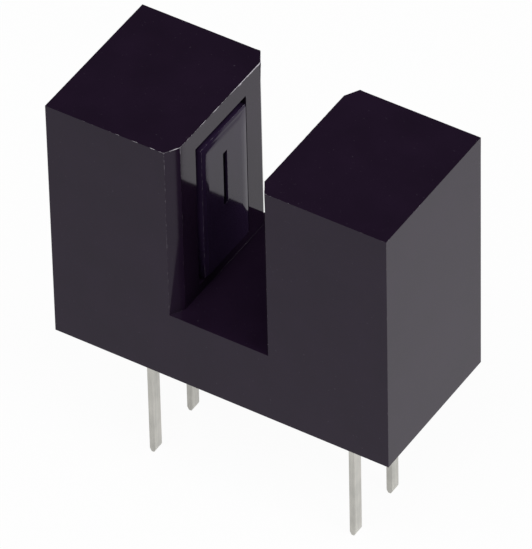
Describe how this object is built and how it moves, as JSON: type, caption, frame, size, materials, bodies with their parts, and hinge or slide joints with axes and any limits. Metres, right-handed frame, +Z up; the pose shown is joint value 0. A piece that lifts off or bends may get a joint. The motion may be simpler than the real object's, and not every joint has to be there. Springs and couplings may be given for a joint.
{
  "type": "slotted optical switch",
  "caption": "Black two-tower optical switch for a circuit board: an infrared emitter faces a light sensor across a narrow slot, on straight flat leads.",
  "frame": {"origin": "middle of the housing's underside, which sits on the circuit board; the leads reach below it", "axes": "+X across the slot from the emitter's tower to the sensor's, +Y through the slot from front to back, +Z up from the board"},
  "size_m": [0.014, 0.0064, 0.0167],
  "materials": {
    "housing_plastic": "moulded, smooth and fairly glossy black",
    "shell_plastic": "moulded black, opaque",
    "clear_epoxy": "clear moulded epoxy",
    "smoked_epoxy": "smoked moulded epoxy that passes infrared",
    "chip": "polished semiconductor chip",
    "gold_wire": "drawn gold wire",
    "tinned_lead": "stamped strip, tinned, satin",
    "fill_epoxy": "poured black epoxy"
  },
  "bodies": {
    "root": {"housing": "housing_plastic", "emitter_shell": "shell_plastic", "emitter_package": "clear_epoxy", "emitter_die": "chip", "emitter_bond_wire": "gold_wire", "emitter_cathode_lead": "tinned_lead", "emitter_anode_lead": "tinned_lead", "emitter_backfill": "fill_epoxy", "sensor_shell": "shell_plastic", "sensor_package": "smoked_epoxy", "sensor_die": "chip", "sensor_bond_wire": "gold_wire", "sensor_collector_lead": "tinned_lead", "sensor_emitter_lead": "tinned_lead", "sensor_backfill": "fill_epoxy"}
  },
  "joints": []
}
